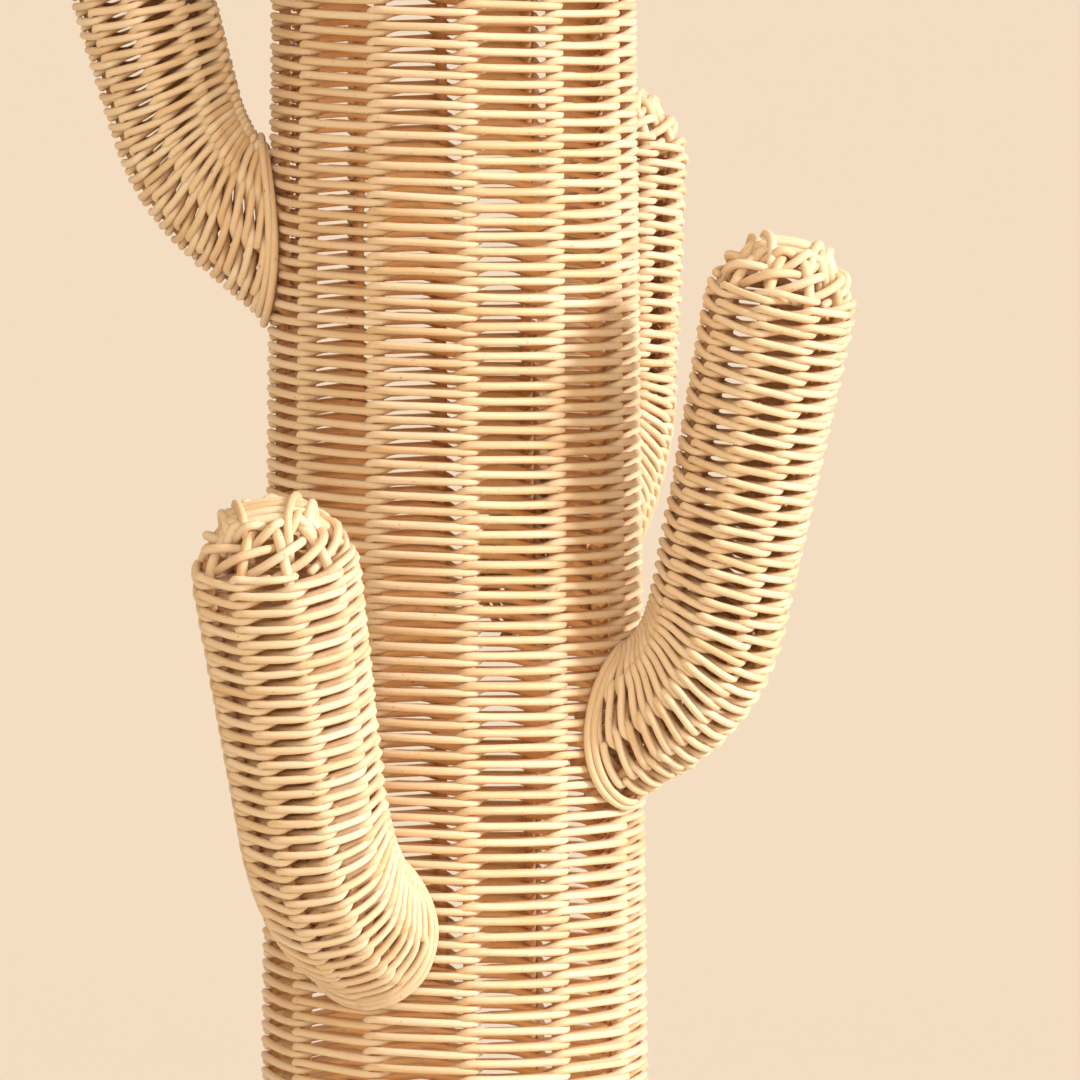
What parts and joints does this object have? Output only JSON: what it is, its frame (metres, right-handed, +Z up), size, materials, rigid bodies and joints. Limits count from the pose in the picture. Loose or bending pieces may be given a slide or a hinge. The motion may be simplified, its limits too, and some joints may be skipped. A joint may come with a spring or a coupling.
{
  "type": "woven rattan cactus",
  "caption": "Free-standing decorative cactus of woven natural rattan, a hollow open-weave trunk with upturned arms that end in round woven tips.",
  "frame": {"origin": "on the trunk's axis, at the underside of the woven base where it stands on the floor", "axes": "+Z up along the trunk, -Y to the front, +X to the right as seen from the front"},
  "size_m": [0.3244, 0.2984, 0.9023],
  "materials": {
    "strand_rattan": "natural unvarnished round rattan core, satin, pale straw with tan streaks",
    "stake_rattan": "natural unvarnished rattan rods, slightly darker and fuller grained than the strands"
  },
  "bodies": {
    "root": {"base_spokes_lower": "stake_rattan", "base_spokes_upper": "stake_rattan", "base_weave": "strand_rattan", "foot_border": "strand_rattan", "trunk_stake_1": "stake_rattan", "trunk_stake_2": "stake_rattan", "trunk_stake_3": "stake_rattan", "trunk_stake_4": "stake_rattan", "trunk_stake_5": "stake_rattan", "trunk_stake_6": "stake_rattan", "trunk_stake_7": "stake_rattan", "trunk_stake_8": "stake_rattan", "trunk_stake_9": "stake_rattan", "trunk_stake_10": "stake_rattan", "trunk_stake_11": "stake_rattan", "trunk_stake_12": "stake_rattan", "trunk_weave_lower": "strand_rattan", "trunk_weave_middle": "strand_rattan", "trunk_weave_upper": "strand_rattan", "crown_weave": "strand_rattan", "crown_border": "stake_rattan", "arm_front_right_stakes": "stake_rattan", "arm_front_right_weave": "strand_rattan", "arm_front_right_tip_border": "stake_rattan", "arm_front_right_root_ring": "strand_rattan", "arm_front_left_stakes": "stake_rattan", "arm_front_left_weave": "strand_rattan", "arm_front_left_tip_border": "stake_rattan", "arm_front_left_root_ring": "strand_rattan", "arm_upper_left_stakes": "stake_rattan", "arm_upper_left_weave": "strand_rattan", "arm_upper_left_tip_border": "stake_rattan", "arm_upper_left_root_ring": "strand_rattan", "arm_rear_right_stakes": "stake_rattan", "arm_rear_right_weave": "strand_rattan", "arm_rear_right_tip_border": "stake_rattan", "arm_rear_right_root_ring": "strand_rattan"}
  },
  "joints": []
}
